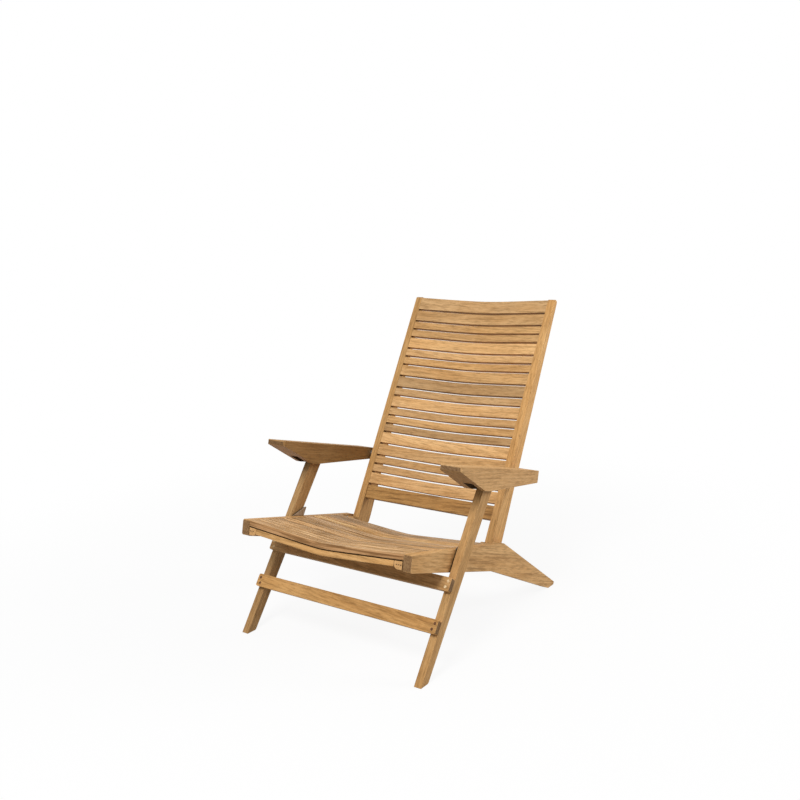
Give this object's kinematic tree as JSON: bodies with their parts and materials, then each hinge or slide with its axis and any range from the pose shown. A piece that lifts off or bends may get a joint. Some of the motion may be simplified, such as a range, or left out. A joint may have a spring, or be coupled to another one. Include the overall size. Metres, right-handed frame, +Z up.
{
  "type": "folding lounge armchair",
  "caption": "Folding outdoor lounge armchair with a dipped slatted seat, a high slatted back, flat stretchers and deep wedge-shaped arms.",
  "frame": {"origin": "bottom centre of the open chair's bounding box, on the floor", "axes": "+X to the sitter's left (right as seen from the front), +Y towards the back, +Z up; the chair faces -Y"},
  "size_m": [0.656, 0.8668, 0.8877],
  "materials": {
    "slat_teak": "oiled, open grain",
    "frame_teak": "oiled, open grain",
    "arm_teak": "oiled, open grain",
    "dark_teak": "oiled, open grain",
    "steel_pins": "plain, hidden in the joints"
  },
  "bodies": {
    "seat": {"seat_rail_right": "frame_teak", "seat_rail_left": "frame_teak", "seat_batten_right": "frame_teak", "seat_batten_left": "frame_teak", "seat_front_rail": "dark_teak", "seat_slat_01": "slat_teak", "seat_slat_02": "slat_teak", "seat_slat_03": "slat_teak", "seat_slat_04": "slat_teak", "seat_slat_05": "slat_teak", "seat_slat_06": "slat_teak", "seat_slat_07": "slat_teak", "seat_slat_08": "slat_teak", "seat_slat_09": "slat_teak", "seat_slat_10": "slat_teak", "seat_slat_11": "slat_teak", "seat_slat_12": "slat_teak", "stop_wedge_right": "dark_teak", "stop_wedge_left": "dark_teak", "seat_pins": "steel_pins", "seat_spacers": "steel_pins"},
    "back": {"back_rail_right": "frame_teak", "back_rail_left": "frame_teak", "back_bottom_rail": "dark_teak", "back_slat_01": "slat_teak", "back_slat_02": "slat_teak", "back_slat_03": "slat_teak", "back_slat_04": "slat_teak", "back_slat_05": "slat_teak", "back_slat_06": "slat_teak", "back_slat_07": "slat_teak", "back_slat_08": "slat_teak", "back_slat_09": "slat_teak", "back_slat_10": "slat_teak", "back_slat_11": "slat_teak", "back_slat_12": "slat_teak", "back_slat_13": "slat_teak", "back_slat_14": "slat_teak", "back_slat_15": "slat_teak", "back_slat_16": "slat_teak", "back_slat_17": "slat_teak", "back_slat_18": "slat_teak", "back_slat_19": "slat_teak", "back_pins": "steel_pins", "back_spacers": "steel_pins"},
    "legs": {"leg_right": "frame_teak", "leg_left": "frame_teak", "leg_stretcher_lower": "frame_teak", "leg_stretcher_upper": "frame_teak", "stretcher_plugs": "dark_teak", "leg_pins": "steel_pins"},
    "arm_right": {"arm_right": "arm_teak"},
    "arm_left": {"arm_left": "arm_teak"}
  },
  "joints": [
    {"name": "back_fold", "type": "hinge", "parent": "seat", "child": "back", "pos_m": [0, -0.00047, 0.22732], "axis": [1, 0, 0], "range_deg": [0, 98]},
    {"name": "leg_fold", "type": "hinge", "parent": "seat", "child": "legs", "pos_m": [0, -0.22867, 0.25722], "axis": [1, 0, 0], "range_deg": [0, 98]},
    {"name": "arm_right_fold", "type": "hinge", "parent": "legs", "child": "arm_right", "pos_m": [0, -0.08331, 0.43931], "axis": [1, 0, 0], "range_deg": [-98, 0]},
    {"name": "arm_left_fold", "type": "hinge", "parent": "legs", "child": "arm_left", "pos_m": [0, -0.08331, 0.43931], "axis": [1, 0, 0], "range_deg": [-98, 0]}
  ],
  "couplings": [
    {"joint": "leg_fold", "follows": "back_fold", "ratio": 1},
    {"joint": "arm_right_fold", "follows": "back_fold", "ratio": -1},
    {"joint": "arm_left_fold", "follows": "back_fold", "ratio": -1}
  ]
}
